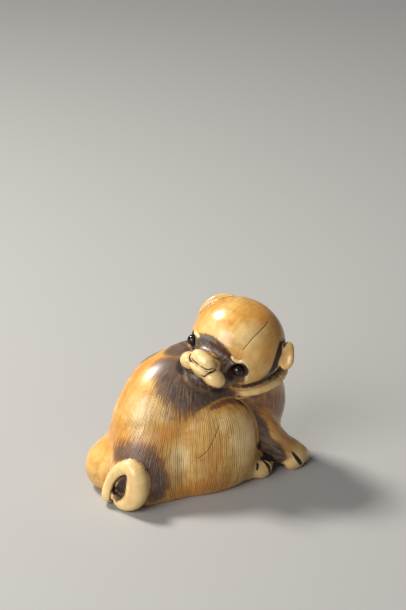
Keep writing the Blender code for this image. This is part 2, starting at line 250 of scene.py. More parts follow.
def legMasses():
    masses = []
    for side in (-1, 1):
        foreleg = [
            (6.5, side * 2.8, 13.5, 4.2),
            (10.3, side * 5.2, 8.8, 3.4),
            (13.8, side * 6.2, 4.6, 2.9),
            (16.2, side * 6.5, 3.0, 2.5),
            (18.0, side * 6.8, 2.0, 2.0),
        ]
        hindFoot = [(-9.0, side * 4.6, 2.0, 2.6), (0.0, side * 5.8, 2.0, 2.6), (8.8, side * 6.2, 1.9, 2.2)]
        haunch = turned(y=-4, z=side * 6)
        masses += [
            limb("foreleg", foreleg, blend=0.8),
            ball("haunch", (0.2, side * 5.0, 7.8), (8.7, 5.3, 9.0), haunch, blend=0.35, power=2.4),
            limb("hindFoot", hindFoot, blend=0.9),
        ]
        toes = [
            ("hindToe", (9.6, 7.7, 1.6), (2.1, 1.15, 1.8)),
            ("hindToe", (11.2, 6.1, 1.6), (2.1, 1.15, 1.9)),
            ("hindToe", (10.6, 4.6, 1.6), (2.0, 1.1, 1.8)),
            ("foreToe", (16.5, 8.1, 1.65), (2.3, 1.2, 1.85)),
            ("foreToe", (18.55, 7.0, 1.45), (2.1, 1.3, 1.7)),
            ("foreToe", (18.0, 4.9, 1.3), (2.2, 1.15, 1.6)),
        ]
        for part, (x, y, z), radii in toes:
            masses.append(ball(part, (x, side * y, z), radii, blend=0.35))
    return masses


def tailMasses():
    loop = [
        (-17.4, -0.3, 1.3, 1.3),
        (-18.9, -1.2, 1.9, 1.1),
        (-18.8, -1.6, 4.0, 0.95),
        (-18.4, -2.6, 6.1, 1.05),
        (-17.8, -3.9, 7.6, 1.2),
        (-17.0, -5.5, 8.3, 1.4),
        (-16.5, -6.7, 7.3, 1.7),
        (-16.4, -6.8, 5.1, 1.95),
        (-16.6, -6.4, 2.9, 1.9),
        (-17.2, -5.1, 1.5, 1.5),
        (-17.9, -3.7, 1.3, 1.1),
        (-18.3, -2.9, 2.1, 0.6),
    ]
    return [limb("tail", loop, blend=0.25)]


def leafTurn():
    long, wide = Vector(leftLeaf["long"]).normalized(), Vector(leftLeaf["wide"])
    across = (wide - wide.project(long)).normalized()
    return headTurn @ np.column_stack((across.cross(long), across, long))


def headMasses():
    pad = headTurn @ turned(x=-5)
    masses = [
        ball("skull", onHead(*skull["centre"]), skull["radii"], headTurn, blend=0.5),
        ball("muzzle", onHead(6.0, 0.2, -4.9), (4.6, 3.3, 2.6), headTurn, blend=1.2),
        ball("chin", onHead(6.8, -0.4, -7.6), (2.9, 2.6, 1.6), headTurn, blend=0.8),
        ball("lip", onHead(9.7, 0.4, -5.7), (1.8, 2.5, 1.1), headTurn, blend=0.3),
        ball("nose", onHead(10.4, 0.0, -3.95), (1.6, 2.35, 1.3), pad, blend=0.12, power=2.6),
    ]
    for side in (1, -1):
        masses.append(ball("jaw", onHead(5.5, 0.2 + side * 2.3, -5.8), (2.9, 2.3, 1.7), headTurn, blend=0.8))
    masses.append(ball("lip", onHead(8.9, 2.8, -5.9), (2.3, 2.1, 1.6), headTurn, blend=0.25))
    masses.append(ball("lip", onHead(8.9, -2.6, -5.6), (2.2, 1.8, 1.6), headTurn, blend=0.25))
    return masses + earGrooves(masses) + leftEar() + rightEar()


def earGrooves(masses):
    # the hollow in front of the left ear, and a thin line in front of the right one
    fold = [
        (-1.0, 7.3, 4.5, 0.4, 0.2),
        (0.4, 7.7, 3.6, 0.7, 0.5),
        (0.75, 8.0, 2.2, 0.8, 0.6),
        (0.6, 8.1, 0.8, 0.8, 0.6),
        (0.5, 8.1, -0.6, 0.5, 0.3),
    ]
    root = []
    for angle, half in zip((55, 45, 30, 15, 5), (0.12, 0.2, 0.24, 0.2, 0.12)):
        root.append((*overSkull(angle, -0.4, 0.0), 0.8 * half, 0.6 * half))
    return [
        surfaceLine("earGroove", fold, masses, head=True, blend=0.3, ink=0.45),
        surfaceLine("earGroove", root, masses, head=True, ink=0.1),
    ]


def overSkull(angle, back, rise):
    # a point just over the dome: its turn from the top, and how far it lies behind the dome's edge
    axis, top = np.array(rightEarPlace["axis"]), np.array(rightEarPlace["top"])
    axis /= np.linalg.norm(axis)
    top -= (top @ axis) * axis
    top /= np.linalg.norm(top)
    side = np.cross(axis, top)
    turn = math.radians(angle)
    way = 8.3 * (math.cos(turn) * top + math.sin(turn) * side) - back * axis
    way /= np.linalg.norm(way)
    reach = 1.0 / np.linalg.norm(way / np.array(skull["radii"]))
    return np.array(skull["centre"]) + (reach + rise) * way


def leftEar():
    # a short folded leaf, narrow at its root and shut against the skull
    leaf = leafTurn()
    return [
        ball("ear", onHead(-1.4, 8.4, 3.3), (0.75, 1.15, 1.7), leaf, blend=0.3),
        ball("ear", onHead(-1.3, 9.05, 1.9), (0.8, 1.35, 1.75), leaf, blend=0.6),
    ]


def rightEar():
    masses = []
    for back, thick in rightEarPlace["rows"]:
        row = []
        for share, wide in zip(np.linspace(0.0, 1.0, 6), (0.45, 0.8, 1.0, 1.0, 0.8, 0.45)):
            angle = rightEarPlace["start"] + share * (rightEarPlace["end"] - rightEarPlace["start"])
            row.append((*overSkull(angle, back, 0.95 * thick * wide - 0.05), thick * wide))
        masses.append(headLine("ear", row, blend=0.6, cut=False, ink=0.0))
    return masses


def collarMasses():
    slope = (0.15, 0.11)
    hollow = neckRing((10.2, -0.6, 19.9), slope, 7.9, 1.05, start=-122, end=105)
    hollow[0] = (*hollow[0][:3], 0.4)
    hollow[-1] = (*hollow[-1][:3], 0.4)
    band = neckRing((10.5, -0.3, 18.1), slope, 7.5, 0.75)
    return [
        limb("neckHollow", hollow, blend=0.5, cut=True, steps=2, ink=0.5),
        limb("collar", band, blend=0.25, closed=True, steps=2),
    ]


def lidMasses(masses):
    stop = [(7.3, -3.3, -2.1, 0.5), (8.6, 0.0, -1.8, 0.9), (7.3, 3.3, -2.1, 0.5)]
    leftLid = [
        (7.55, 3.3, -1.58, 0.14, 0.04),
        (7.37, 3.67, -1.72, 0.24, 0.2),
        (7.12, 4.12, -1.76, 0.26, 0.24),
        (6.84, 4.63, -1.63, 0.24, 0.22),
        (6.63, 5.06, -1.2, 0.26, 0.24),
        (6.1, 5.7, -1.3, 0.24, 0.2),
        (5.5, 6.1, -1.8, 0.3, 0.2),
        (4.9, 6.3, -2.5, 0.34, 0.2),
        (4.0, 6.5, -3.6, 0.34, 0.2),
        (2.7, 6.45, -4.8, 0.3, 0.12),
        (2.1, 6.2, -5.4, 0.15, 0.04),
    ]
    rightLid = [
        (5.2, -6.4, -2.1, 0.15, 0.05),
        (5.6, -6.1, -1.8, 0.28, 0.22),
        (6.3, -5.3, -1.65, 0.3, 0.26),
        (6.95, -4.47, -1.63, 0.15, 0.05),
    ]
    return [
        headLine("stop", stop, blend=0.9, ink=0.0),
        surfaceLine("lid", leftLid, masses, head=True, cut=False),
        surfaceLine("lid", rightLid, masses, head=True, cut=False),
    ]


def eyePlace(name):
    return onHead(*eyes[name])


def carvedLines(masses):
    rightNostril = [
        (11.75, -1.8, -4.8, 0.1, 0.08),
        (11.9, -1.2, -5.2, 0.16, 0.16),
        (11.95, -0.35, -5.2, 0.15, 0.15),
        (11.95, 0.1, -5.05, 0.08, 0.06),
    ]
    leftNostril = [
        (11.85, 0.8, -5.1, 0.1, 0.08),
        (11.65, 1.6, -5.2, 0.16, 0.16),
        (11.2, 2.2, -4.95, 0.16, 0.16),
        (10.9, 2.45, -4.5, 0.1, 0.08),
    ]
    mouth = [
        (11.0, 1.4, -6.3, 0.08, 0.06),
        (10.8, 1.9, -6.1, 0.12, 0.12),
        (10.5, 2.4, -5.6, 0.12, 0.12),
        (10.4, 2.6, -5.2, 0.08, 0.06),
    ]
    cuts = []
    for line in (rightNostril, leftNostril):
        cuts.append(surfaceLine("nostril", line, masses, head=True, blend=0.08, ink=0.07))
    cuts.append(surfaceLine("mouth", mouth, masses, head=True, blend=0.08, ink=0.06))
    valley = onHead(-0.45, 9.3, 2.1)
    cuts.append(ball("earValley", valley, (0.55, 0.75, 1.5), leafTurn(), blend=0.5, cut=True))
    outerForeCleft = [
        (15.3, 9.05, 3.8, 0.12, 0.1),
        (16.1, 9.1, 2.75, 0.26, 0.26),
        (16.7, 9.3, 1.85, 0.3, 0.3),
        (17.3, 9.2, 1.0, 0.2, 0.15),
    ]
    innerForeCleft = [
        (16.0, 5.6, 3.9, 0.2, 0.15),
        (18.2, 5.8, 2.8, 0.3, 0.3),
        (19.8, 5.8, 1.0, 0.3, 0.3),
    ]
    hindCleft = [
        (9.6, 8.0, 3.3, 0.12, 0.1),
        (10.1, 8.5, 2.7, 0.26, 0.26),
        (10.5, 8.7, 1.9, 0.26, 0.26),
        (10.7, 8.7, 1.0, 0.16, 0.1),
    ]
    shortHindCleft = [
        (8.3, 8.1, 3.2, 0.1, 0.08),
        (8.2, 8.3, 2.7, 0.2, 0.2),
        (8.0, 8.5, 2.2, 0.1, 0.08),
    ]
    for side in (-1, 1):
        for line in (outerForeCleft, innerForeCleft, hindCleft, shortHindCleft):
            line = [(x, side * y, *rest) for x, y, *rest in line]
            cuts.append(surfaceLine("cleft", line, masses, blend=0.08, ink=0.12))
    for name in ("left", "right"):
        out = headTurn @ np.array(eyes[name]) / np.linalg.norm(eyes[name])
        hollow = eyes["hollow"]
        socket = eyes["diameter"] / 2 + eyes["socketGap"]
        middle = eyePlace(name) + eyes["hollowOut"] * out
        cuts.append(ball("eyeHollow", middle, (hollow, hollow, hollow), blend=0.25, cut=True, ink=0.5))
        cuts.append(ball("socket", eyePlace(name), (socket, socket, socket), blend=0.1, cut=True, ink=0.5))
    return cuts


def tunnelStations():
    # the cord's tunnel, an arc from the wide hole to the narrow one
    middle = cordHoles["middle"]
    stations = []
    for step in range(11):
        along = step / 10
        angle = math.pi * (1.12 * along - 0.06)
        x = middle[0] - cordHoles["spacing"] / 2 * math.cos(angle)
        radius = (cordHoles["wide"] + along * (cordHoles["narrow"] - cordHoles["wide"])) / 2
        stations.append((x, middle[1], cordHoles["depth"] * math.sin(angle), radius))
    return stations


def makeActive(thing):
    for other in bpy.context.selected_objects:
        other.select_set(False)
    bpy.context.view_layer.objects.active = thing
    thing.select_set(True)


def meshPoints(thing):
    points = np.empty(len(thing.data.vertices) * 3)
    thing.data.vertices.foreach_get("co", points)
    return points.reshape(-1, 3)


def setMeshPoints(thing, points):
    thing.data.vertices.foreach_set("co", np.ascontiguousarray(points).ravel())
    thing.data.update()


def applyModifier(thing, kind, **settings):
    makeActive(thing)
    modifier = thing.modifiers.new("Work", kind)
    for name, value in settings.items():
        setattr(modifier, name, value)
    bpy.ops.object.modifier_apply(modifier=modifier.name)


def pullOntoFigure(thing, masses, rounds, smooth=True):
    for step in range(rounds):
        points = meshPoints(thing)
        away, outward = figureSlope(points, masses)
        setMeshPoints(thing, points - np.clip(away, -carving["reach"], carving["reach"])[:, None] * outward)
        if smooth and step < rounds - 2:
            applyModifier(thing, "SMOOTH", iterations=1, factor=0.5)


def gatherLumps(masses):
    mesh = bpy.data.meshes.new("puppy")
    lumps = bmesh.new()
    for mass in masses:
        if mass["cut"]:
            continue
        for centre, radii, axes in mass["lumps"]:
            place = Matrix.Translation(centre) @ Matrix(axes).to_4x4() @ Matrix.Diagonal((*radii, 1.0))
            bmesh.ops.create_icosphere(lumps, subdivisions=3, radius=1.0, matrix=place)
    lumps.to_mesh(mesh)
    lumps.free()
    puppy = bpy.data.objects.new("puppy", mesh)
    bpy.context.scene.collection.objects.link(puppy)
    return puppy


def drillTunnel(puppy, stations):
    rings = []
    tube = bmesh.new()
    path = smoothPath(np.array(stations), False, 2)
    side = Vector((0.0, 1.0, 0.0))
    corners = 24
    for spot, ahead in zip(path, np.gradient(path[:, :3], axis=0)):
        other = Vector(ahead).normalized().cross(side)
        ring = []
        for k in range(corners):
            angle = 2 * math.pi * k / corners
            rim = float(spot[3]) * (math.cos(angle) * side + math.sin(angle) * other)
            ring.append(tube.verts.new(Vector(spot[:3]) + rim))
        rings.append(ring)
    for low, high in zip(rings, rings[1:]):
        for k in range(corners):
            tube.faces.new((low[k], low[k - 1], high[k - 1], high[k]))
    tube.faces.new(rings[0])
    tube.faces.new(rings[-1])
    bmesh.ops.recalc_face_normals(tube, faces=tube.faces)
    mesh = bpy.data.meshes.new("tunnel")
    tube.to_mesh(mesh)
    tube.free()
    tunnel = bpy.data.objects.new("tunnel", mesh)
    bpy.context.scene.collection.objects.link(tunnel)
    applyModifier(puppy, "BOOLEAN", operation="DIFFERENCE", object=tunnel)
    bpy.data.objects.remove(tunnel)


def refine(puppy, chosen):
    # smaller faces where the carving is finest
    makeActive(puppy)
    bpy.ops.object.mode_set(mode="EDIT")
    bpy.ops.mesh.select_mode(type="FACE")
    bpy.ops.mesh.select_all(action="DESELECT")
    bpy.ops.object.mode_set(mode="OBJECT")
    centres = np.empty(len(puppy.data.polygons) * 3)
    puppy.data.polygons.foreach_get("center", centres)
    puppy.data.polygons.foreach_set("select", chosen(centres.reshape(-1, 3)))
    bpy.ops.object.mode_set(mode="EDIT")
    bpy.ops.mesh.subdivide(number_cuts=1)
    bpy.ops.object.mode_set(mode="OBJECT")


def carvePuppy():
    masses = bodyMasses() + legMasses() + tailMasses() + headMasses() + collarMasses()
    masses += lidMasses(masses)
    masses += carvedLines(masses)
    puppy = gatherLumps(masses)
    applyModifier(puppy, "REMESH", mode="VOXEL", voxel_size=carving["roughSkin"])
    pullOntoFigure(puppy, masses, carving["roughRounds"])
    makeActive(puppy)
    bpy.ops.object.mode_set(mode="EDIT")
    bpy.ops.mesh.select_all(action="SELECT")
    bpy.ops.mesh.bisect(plane_co=(0, 0, 0), plane_no=(0, 0, 1), clear_inner=True, use_fill=True)
    bpy.ops.object.mode_set(mode="OBJECT")
    stations = tunnelStations()
    drillTunnel(puppy, stations)
    masses += [floorCut(), limb("cordHole", stations, blend=0.5, cut=True, steps=2, ink=1.5)]

    coarser = 1.0
    applyModifier(puppy, "REMESH", mode="VOXEL", voxel_size=carving["fineSkin"] * coarser)
    pullOntoFigure(puppy, masses, carving["fineRounds"])

    fineParts = ("nostril", "mouth", "nose", "lid", "cleft", "socket", "earGroove")

    def nearFineLines(centres):
        return partDistance(centres, masses, *fineParts) < carving["lineMargin"]

    refine(puppy, nearFineLines)
    pullOntoFigure(puppy, masses, 2, smooth=False)
    return puppy, masses


puppy, masses = carvePuppy()
print("puppy carved:", len(puppy.data.polygons), "faces")


painting = {
    "hairSpacing": 0.37,  # between the engraved hairs
    "hairRelief": 0.03,
    "crackDepth": 0.1,
    "footprint": (19.0, 9.6, -0.5, 0.3),  # the ellipse that the hairs run down round
}

# Dark stain rubbed into the coat, as bands of stations that each have a radius
stains = {
    "saddle": [
        (-5.2, -1.0, 21.2, 3.9),
        (-5.6, -3.6, 19.0, 3.9),
        (-1.5, -6.0, 18.0, 3.2),
        (3.5, -6.7, 15.8, 2.5),
        (6.8, -7.4, 13.0, 1.9),
    ],
    "shoulder": [
        (6.8, -7.4, 13.0, 1.7),
        (8.8, -8.3, 9.4, 1.7),
        (10.4, -8.4, 6.2, 1.9),
        (12.2, -8.4, 3.9, 1.8),
        (12.4, -7.4, 2.0, 1.8),
    ],
    "rump": [
        (-16.4, -1.4, 8.9, 0.7),
        (-15.4, -4.0, 8.9, 1.4),
        (-13.4, -6.5, 7.6, 1.6),
        (-12.5, -7.7, 5.2, 1.5),
        (-12.8, -7.6, 2.6, 1.3),
    ],
    "farSide": [
        (-4.0, 7.0, 20.5, 3.0),
        (0.0, 8.8, 17.0, 3.0),
        (5.0, 8.4, 14.0, 2.6),
        (9.3, 8.3, 9.4, 1.9),
        (12.0, 8.2, 3.9, 1.8),
    ],
    "nape": [(-2.0, 2.0, 24.0, 2.0), (1.5, 4.5, 22.5, 2.4), (3.0, 7.0, 20.0, 2.2)],
}

# Stain inside the tail's loop; round the throat, stain deepened with painted shade
tailHollow = [(-17.9, -3.7, 2.4, 1.1), (-17.4, -4.6, 5.8, 1.1)]
throatStainAndShade = [
    (8.5, -6.9, 15.3, 1.6),
    (12.0, -6.8, 13.5, 1.8),
    (15.2, -5.4, 12.0, 1.8),
    (13.2, -6.6, 10.4, 1.2),
]

# On the head's own axes: the dark cheek in front of the ear, stain with painted shade in its fold, and a
# painted grey sheen on the mask between the eyes
cheekStainAndShade = [
    (0.8, 7.6, 4.4, 0.5),
    (0.4, 8.1, 1.5, 0.8),
    (0.2, 8.3, -1.2, 0.9),
    (0.0, 7.4, -3.6, 1.1),
    (1.0, 6.2, -5.4, 1.2),
]
sheenStations = [(7.0, -4.4, -1.5, 0.5), (7.9, -2.4, -1.2, 0.7), (8.3, -0.8, -1.2, 0.6)]

# Tints of the ivory, with painted shade and a painted highlight among them: centre, radii, strength
amberTintsAndShade = [
    ((-7.5, 2.5, 21.5), (5.5, 3.6, 2.6), 0.85),
    ((-12.5, 0.5, 17.5), (3.0, 3.5, 3.6), 0.4),
    ((-16.0, 1.5, 11.0), (3.2, 4.5, 4.0), 0.55),
    ((-9.6, -5.8, 12.6), (2.6, 2.0, 3.2), 0.8),
    ((1.5, 0.0, 29.3), (1.8, 2.6, 2.2), 0.55),
    ((13.0, -7.0, 28.5), (2.6, 3.6, 4.0), 0.85),
    ((10.0, -7.0, 31.0), (3.0, 2.6, 2.0), 0.75),
    ((8.6, -10.0, 25.2), (1.8, 1.6, 2.0), 0.45),
    ((-4.3, -8.4, 1.6), (7.0, 2.6, 2.6), 0.9),
    ((-2.6, -9.8, 8.6), (2.6, 2.0, 3.4), 0.45),
    ((-11.0, -7.6, 6.2), (1.8, 1.8, 4.0), 0.6),
    # painted shade in the left ear's inner fold
    ((12.5, -10.6, 23.1), (0.9, 0.9, 1.3), 0.9),
    ((14.6, -8.0, 6.4), (3.4, 2.2, 1.6), 0.5),
    # partly painted shade: the neck and chest deepened towards amber, where less light falls
    ((12.5, -7.0, 10.0), (2.6, 2.6, 3.6), 0.9),
    ((12.0, -6.6, 13.6), (3.6, 2.6, 3.0), 0.9),
    ((-1.5, 7.5, 21.0), (5.0, 3.0, 3.0), 0.5),
]
paleTintsAndHighlight = [
    ((6.0, -8.8, 28.4), (3.4, 2.6, 3.0), 0.7),
    ((1.0, -4.2, 29.2), (3.0, 4.2, 1.5), 0.6),
    # painted highlight: the long pale streak high on the back
    ((-9.0, 0.6, 21.5), (2.2, 2.4, 4.0), 0.5),
    ((-12.6, -1.2, 16.6), (2.2, 2.8, 4.4), 0.6),
    ((-9.8, -5.8, 16.4), (1.8, 1.8, 1.8), 0.7),
    ((3.6, -10.3, 10.0), (3.0, 2.0, 6.0), 0.9),
    ((-8.2, -7.6, 8.4), (2.8, 1.8, 3.4), 0.85),
    ((0.4, -9.4, 13.6), (2.6, 2.0, 1.8), 0.6),
    ((16.5, -8.6, 2.4), (2.6, 1.6, 2.2), 0.7),
    ((8.6, -7.6, 2.0), (3.0, 1.6, 2.0), 0.7),
    ((5.6, -10.4, 24.6), (2.4, 1.6, 1.6), 0.35),
]

# The mask's upper edge on the face: aside and up, from right to left
maskEdge = [
    (-6.2, -1.9), (-4.8, -1.1), (-3.2, -0.4), (-1.7, 0.1), (-0.1, 0.1),
    (1.6, -0.3), (3.1, -0.9), (3.8, -1.1), (5.1, -0.9), (6.0, -2.2),
]

# Age cracks in the head and the haunch
cracks = [
    [(11.1, -7.6, 29.9), (8.4, -9.0, 29.3), (6.1, -9.4, 28.3), (4.8, -9.5, 27.3), (3.7, -9.2, 26.2)],
    [
        (-0.5, -9.2, 14.0), (-1.5, -9.6, 12.7), (-2.5, -9.7, 11.1),
        (-3.5, -9.7, 9.6), (-4.6, -9.4, 8.7), (-5.7, -8.9, 8.0),
    ],
]


def ease(values, low, high):
    t = np.clip((values - low) / (high - low), 0.0, 1.0)
    return t * t * (3 - 2 * t)


def meshNormals(thing):
    normals = np.empty(len(thing.data.vertices) * 3)
    thing.data.vertices.foreach_get("normal", normals)
    return normals.reshape(-1, 3)


def tintOf(points, spots):
    left = np.ones(len(points))
    for centre, radii, strength in spots:
        away = np.linalg.norm((points - np.array(centre)) / np.array(radii), axis=1)
        left *= 1.0 - strength * (1.0 - ease(away, 0.3, 1.3))
    return 1.0 - left


def bandMask(points, band, inner=-1.2, outer=1.2):
    return 1.0 - ease(limb("stain", band)["distance"](points), inner, outer)


def hairLines(points):
    # how far round the body, and how far down, in millimetres
    long, wide, x, y = painting["footprint"]
    turn = np.linspace(-math.pi, math.pi, 721)
    steps = np.hypot(long * np.diff(np.cos(turn)), wide * np.diff(np.sin(turn)))
    length = np.concatenate(((0.0,), np.cumsum(steps)))
    angle = np.arctan2(-(points[:, 1] - y) / wide, -(points[:, 0] - x) / long)
    return np.interp(angle, turn, length), points[:, 2]


def crackLines(points, normals):
    across = np.ones(len(points))
    depth = np.zeros(len(points))
    for line in cracks:
        path = smoothPath(np.array(line, float), False, 3)
        total = len(path) - 1
        for k, (start, end) in enumerate(zip(path[:-1], path[1:])):
            along = end - start
            share = np.clip((points - start) @ along / (along @ along), 0.0, 1.0)
            gap = points - start - share[:, None] * along
            side = np.cross(along / np.linalg.norm(along), normals)
            away = np.linalg.norm(gap - (gap * normals).sum(axis=1)[:, None] * normals, axis=1)
            near = (away < np.abs(across)) & (np.linalg.norm(gap, axis=1) < 1.5)
            across[near] = (np.sign((gap * side).sum(axis=1)) * away)[near]
            place = (k + share) / total
            depth[near] = (ease(place, 0.0, 0.12) * (1 - ease(place, 0.88, 1.0)))[near]
    return across, depth


headParts = ("skull", "muzzle", "jaw", "chin", "lip", "nose", "ear")


def paintPuppy(puppy, masses):
    points = meshPoints(puppy)
    normals = meshNormals(puppy)
    onTail = 1 - ease(partDistance(points, masses, "tail"), 0.15, 0.5)
    onHaunch = 1 - ease(partDistance(points, masses, "haunch"), 0.15, 0.6)
    onForeleg = 1 - ease(partDistance(points, masses, "foreleg"), 0.15, 0.7)
    onToes = 1 - ease(partDistance(points, masses, "foreToe", "hindToe"), 0.1, 0.6)
    onCollar = 1 - ease(partDistance(points, masses, "collar"), 0.1, 0.4)
    onCollar *= np.maximum(ease(points[:, 0], 4.4, 6.4), ease(points[:, 1], 0.0, 2.0))
    onSkull = 1 - ease(partDistance(points, masses, *headParts), 0.2, 0.9)
    onNose = 1 - ease(partDistance(points, masses, "nose"), 0.05, 0.3)
    onLips = 1 - ease(partDistance(points, masses, "lip"), 0.1, 0.5)
    onEars = 1 - ease(partDistance(points, masses, "ear"), 0.1, 0.5)
    onLids = 1 - ease(partDistance(points, masses, "lid"), 0.05, 0.25)
    headPoints = (points - np.array(headPlace["centre"])) @ headTurn
    ahead, aside, up = headPoints.T

    # how shut in each point is, near and far
    shutIn = {}
    for reach in (0.6, 1.8, 4.5):
        shutIn[reach] = np.clip(1 - figureDistance(points + reach * normals, masses) / reach, 0.0, 1.0)

    dyedCuts = np.zeros(len(points))
    for mass in masses:
        if mass["cut"] and mass["ink"] > 0:
            dyedCuts = np.maximum(dyedCuts, 1 - ease(mass["distance"](points), 0.02, mass["ink"]))
    # painted shade: besides the dye in the cuts, points that nearby parts shut in are darkened
    ink = np.maximum(dyedCuts, ease(shutIn[0.6], 0.25, 0.7))
    ink = np.maximum(ink, 0.9 * ease(shutIn[1.8], 0.35, 0.8))
    ink *= 1 - 0.8 * onNose * (dyedCuts < 0.4)
    ink *= 1 - 0.85 * onCollar
    ink *= 1 - 0.9 * onEars
    ink = np.maximum(ink, 0.9 * bandMask(points, tailHollow, -0.1, 1.0) * (1 - onTail))
    nearHollow = partDistance(points, masses, "neckHollow", "eyeHollow", "earGroove") < 0.6
    ink = np.minimum(ink, 1 - 0.35 * nearHollow)

    # the coat's stain, held off the raised parts
    low = ease(-points[:, 2], -18.5, -14.0)
    offToes = 1 - 0.85 * onToes
    saddle = bandMask(points, stains["saddle"], -2.6 - 1.0 * low, 1.6 + 2.4 * low) * (1 - 0.75 * onHaunch)
    shoulder = bandMask(points, stains["shoulder"]) * (1 - onHaunch) * offToes
    rumpFade = 2.4 + 2.4 * ease(points[:, 2], 7.0, 11.0)
    rump = 0.9 * bandMask(points, stains["rump"], -1.6, rumpFade) * (1 - onTail)
    farSide = 0.85 * bandMask(points, stains["farSide"], -1.6, 1.6) * (1 - 0.8 * onHaunch) * offToes
    nape = 0.9 * bandMask(points, stains["nape"], -1.0, 1.6)
    # partly painted shade: the throat's stain is deepened
    neck = 0.5 * bandMask(points, throatStainAndShade, -1.0, 2.2)
    overLeg = 0.62 * points[:, 0] + 0.78 * points[:, 2]
    ridge = onForeleg * ease(overLeg, 12.0, 13.4) * ease(points[:, 0], 9.5, 11.5)
    shoulder *= 1 - 0.9 * ridge
    neck *= 1 - 0.5 * ridge
    body = np.max((saddle, shoulder, rump, farSide, nape, neck), axis=0)
    stainAndShade = body * (1 - onSkull) * (1 - onCollar) * (1 - onTail)
    stainAndShade = np.maximum(stainAndShade, 0.8 * bandMask(points, tailHollow, -0.3, 0.5))

    # the mask over the eyes and round the muzzle, and the band in front of the ears, stain with painted shade
    # in the fold
    edge = np.interp(aside, *np.array(maskEdge).T)
    mask = (1 - ease(up, edge - 0.7, edge + 0.5)) * ease(ahead, 2.6, 4.6)
    mask *= 1 - ease(np.abs(aside + 0.1), 5.6, 7.2)
    nostrilBlock = ball("block", (9.9, 0.0, -3.9), (2.5, 2.7, 1.7))["distance"](headPoints)
    onBlock = 1 - ease(nostrilBlock, -0.1, 0.7)
    mask *= onSkull * (1 - onNose) * (1 - onBlock) * (1 - onLips * ease(ahead, 8.0, 9.2))
    mask *= 1 - onLids
    mask *= 1 - 0.9 * ease(aside, 5.6, 6.2) * ease(up, -6.0, -4.0)
    # stain and painted shade in the fold before the left ear
    cheek = bandMask(headPoints, cheekStainAndShade, -0.5, 0.9) * (1 - onEars)
    # the head is darkened below its lips, towards its underside
    chin = (1 - ease(up, -7.6, -6.6)) * onSkull
    stainAndShade = np.max((stainAndShade, mask, 0.95 * cheek, chin), axis=0)
    # painted shade: the coat is darkened where larger parts shelter it
    shelterShade = 0.6 * ease(shutIn[4.5], 0.35, 0.8) * (1 - onNose) * (1 - onLips)
    stainAndShade = np.maximum(stainAndShade, shelterShade) * (1 - 0.9 * onCollar)

    across, down = hairLines(points)
    hair = (1 - onSkull) * (1 - onTail) * (1 - onCollar) * (1 - onToes) * (1 - onForeleg)
    hair *= 1 - ease(normals[:, 2], 0.8, 0.97)
    hair *= ease(points[:, 2], 0.3, 1.5) * (1 - 0.85 * ease(points[:, 2], 19.0, 22.0))
    topOfBack = ease(points[:, 2] - 0.35 * points[:, 0], 17.0, 21.0) * ease(points[:, 1], -3.5, -0.5)
    hair *= 1 - 0.8 * topOfBack
    hair *= 1 - ease(points[:, 0], 11.0, 14.0)
    rim = ease(points[:, 0], 2.5, 5.0) * onHaunch
    hair *= 1 - 0.75 * rim
    hair *= 1 - 0.85 * ease(-points[:, 0], 14.0, 15.5) * ease(points[:, 1], -4.5, -2.0)
    hair *= ease(partDistance(points, masses, "tail"), 0.15, 1.2)

    # other ways for the hairs on the leg and the head, numbered far from the body's
    legAcross = overLeg + 100
    onLeg = (partDistance(points, masses, "foreleg") < 0.5) & (points[:, 0] > 8.0)
    legHair = onForeleg * ease(points[:, 0], 8.0, 10.0) * (1 - ease(points[:, 0], 15.0, 17.0))
    legHair *= 1 - onToes
    across = np.where(onLeg, legAcross, across)
    hair = np.where(onLeg, 0.8 * legHair, hair)
    onFace = onSkull > 0.5
    across = np.where(onFace, aside + 200, across)
    down = np.where(onFace, up, down)

    crackAcross, crackDepth = crackLines(points, normals)

    # painted shade: shut-in places are warmed towards orange, on top of the orange tints
    orangeAndShade = np.maximum(tintOf(points, amberTintsAndShade), 0.3 * ease(shutIn[4.5], 0.1, 0.5))
    # painted sheen: a grey streak on the mask between the eyes
    sheenBand = bandMask(headPoints, sheenStations, -0.3, 0.6)
    pale = onNose + 0.8 * onLips + 0.8 * onTail + 0.6 * onToes
    pale = np.clip(pale + 0.7 * onCollar + 0.45 * onEars + onLids, 0, 1)
    pale = np.maximum(pale, tintOf(points, paleTintsAndHighlight))

    # the deeper hairs and the cracks are cut into the mesh as well
    wave = np.cos(across * math.pi / painting["hairSpacing"]) * 0.5 + 0.5
    relief = -painting["hairRelief"] * hair * wave**2
    relief -= painting["crackDepth"] * crackDepth * (1 - ease(np.abs(crackAcross), 0.0, 0.14))
    setMeshPoints(puppy, points + relief[:, None] * normals)

    fields = {
        "ink": ink, "stainAndShade": stainAndShade, "orangeAndShade": orangeAndShade, "pale": pale, "hair": hair, "sheenBand": sheenBand,
        "hairAcross": across, "hairDown": down, "crackAcross": crackAcross, "crackDepth": crackDepth,
    }
    for name, values in fields.items():
        attribute = puppy.data.attributes.new(name, "FLOAT", "POINT")
        attribute.data.foreach_set("value", values.astype(np.float32))


paintPuppy(puppy, masses)
print("puppy painted")

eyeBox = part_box("eye_left")
shift = (eyeBox[0] + eyeBox[1]) / 2 - Vector(eyePlace("left")) * mm
puppy.data.transform(Matrix.Translation(shift) @ Matrix.Scale(mm, 4))
makeActive(puppy)
bpy.ops.object.shade_smooth()


